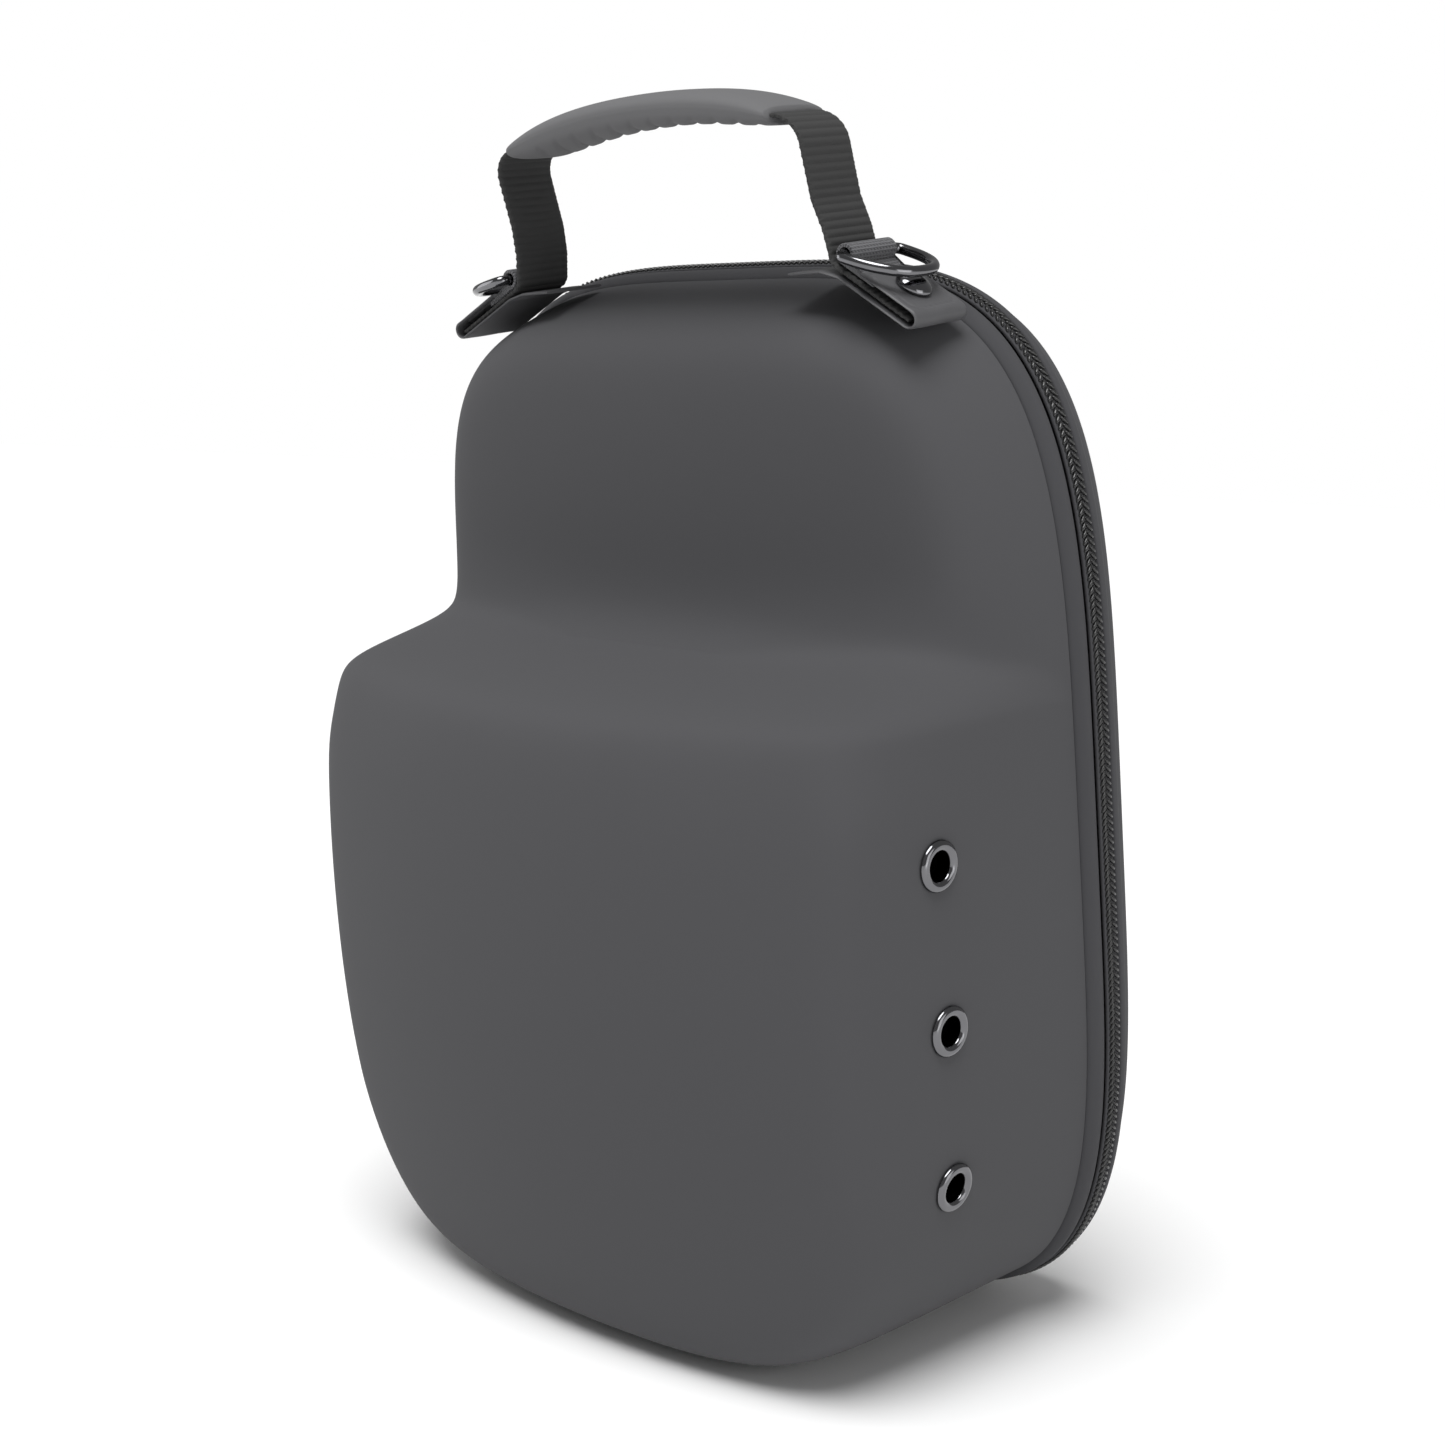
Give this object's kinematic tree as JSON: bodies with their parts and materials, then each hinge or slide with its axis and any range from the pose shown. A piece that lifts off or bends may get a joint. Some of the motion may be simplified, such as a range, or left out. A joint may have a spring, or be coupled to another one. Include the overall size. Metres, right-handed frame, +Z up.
{
  "type": "baseball cap carrier case",
  "caption": "Moulded fabric-covered carrier case for baseball caps, with a zip all round, a webbing handle with a rubber grip, leather tabs, D-rings and vent eyelets.",
  "frame": {"origin": "middle of the bottom of the bounding box, on the floor that the case stands on", "axes": "+Z up, +Y towards the flat back, +X to the right of someone who looks at the front"},
  "size_m": [0.2426, 0.1742, 0.3609],
  "materials": {
    "shell_fabric": "fine charcoal knit bonded to moulded foam",
    "zip_tape": "woven herringbone tape",
    "zip_teeth": "black coil zip",
    "webbing": "ribbed black webbing",
    "tab_leather": "dark grey synthetic leather",
    "grip_rubber": "soft grey moulded rubber",
    "black_nickel": "dark polished nickel"
  },
  "bodies": {
    "case": {"front_shell": "shell_fabric", "back_shell": "shell_fabric", "zip_tape_front": "zip_tape", "zip_chain": "zip_teeth", "zip_tape_rear": "zip_tape", "zip_slider": "black_nickel", "strap_left": "webbing", "strap_right": "webbing", "grip": "grip_rubber", "tab_left": "tab_leather", "tab_right": "tab_leather", "keeper_left": "webbing", "keeper_right": "webbing", "rivet_left": "black_nickel", "rivet_right": "black_nickel", "eyelet_left_1": "black_nickel", "eyelet_left_2": "black_nickel", "eyelet_left_3": "black_nickel", "eyelet_right_1": "black_nickel", "eyelet_right_2": "black_nickel", "eyelet_right_3": "black_nickel"},
    "ring_left": {"d_ring_left": "black_nickel"},
    "ring_right": {"d_ring_right": "black_nickel"}
  },
  "joints": [
    {"name": "ring_left_swing", "type": "hinge", "parent": "case", "child": "ring_left", "pos_m": [-0.06227, -0.021, 0.3126], "axis": [0, 0.9813, 0.1923], "range_deg": [0, 104]},
    {"name": "ring_right_swing", "type": "hinge", "parent": "case", "child": "ring_right", "pos_m": [0.06655, -0.02166, 0.31595], "axis": [0, -0.9813, -0.1923], "range_deg": [0, 112]}
  ]
}
